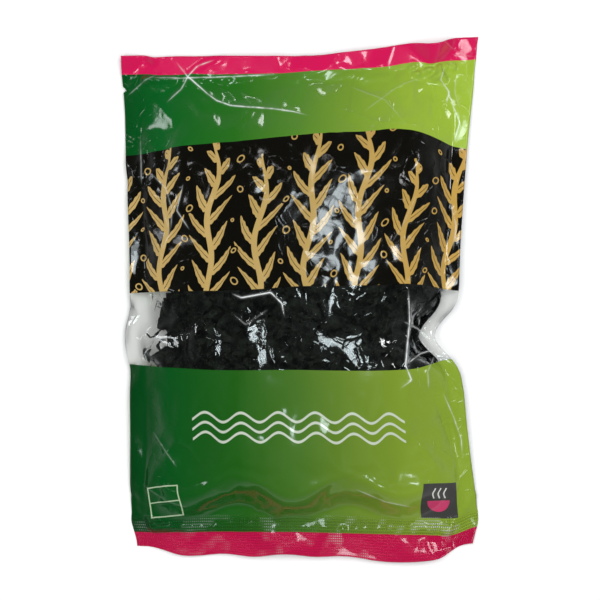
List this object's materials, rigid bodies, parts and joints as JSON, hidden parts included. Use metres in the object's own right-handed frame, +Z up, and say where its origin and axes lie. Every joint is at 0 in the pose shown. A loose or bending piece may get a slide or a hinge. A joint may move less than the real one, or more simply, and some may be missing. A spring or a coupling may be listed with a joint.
{
  "type": "pouch of dried wakame seaweed",
  "caption": "Sealed flat pouch of dried wakame lying on its back: printed film with a clear window band, pressed seams, a crimped end, a tear notch and a heap of flakes.",
  "frame": {"origin": "on the surface that the pouch lies on, under the middle of its bounding box", "axes": "+X across the pouch to the right of its front, +Y along it towards the top seal, +Z up from the surface, out of the printed front"},
  "size_m": [0.1616, 0.2364, 0.0227],
  "materials": {
    "printed_film": "glossy laminated film, printed in green, black, gold and magenta round a clear band",
    "back_film": "glossy laminated film, printed in plain green with magenta ends round a clear band",
    "dried_seaweed": "black-green dried seaweed, crumpled and slightly shiny"
  },
  "bodies": {
    "root": {"front_film": "printed_film", "back_film": "back_film", "wakame_heap": "dried_seaweed", "loose_flake_strand": "dried_seaweed", "loose_flake_hook": "dried_seaweed"}
  },
  "joints": []
}
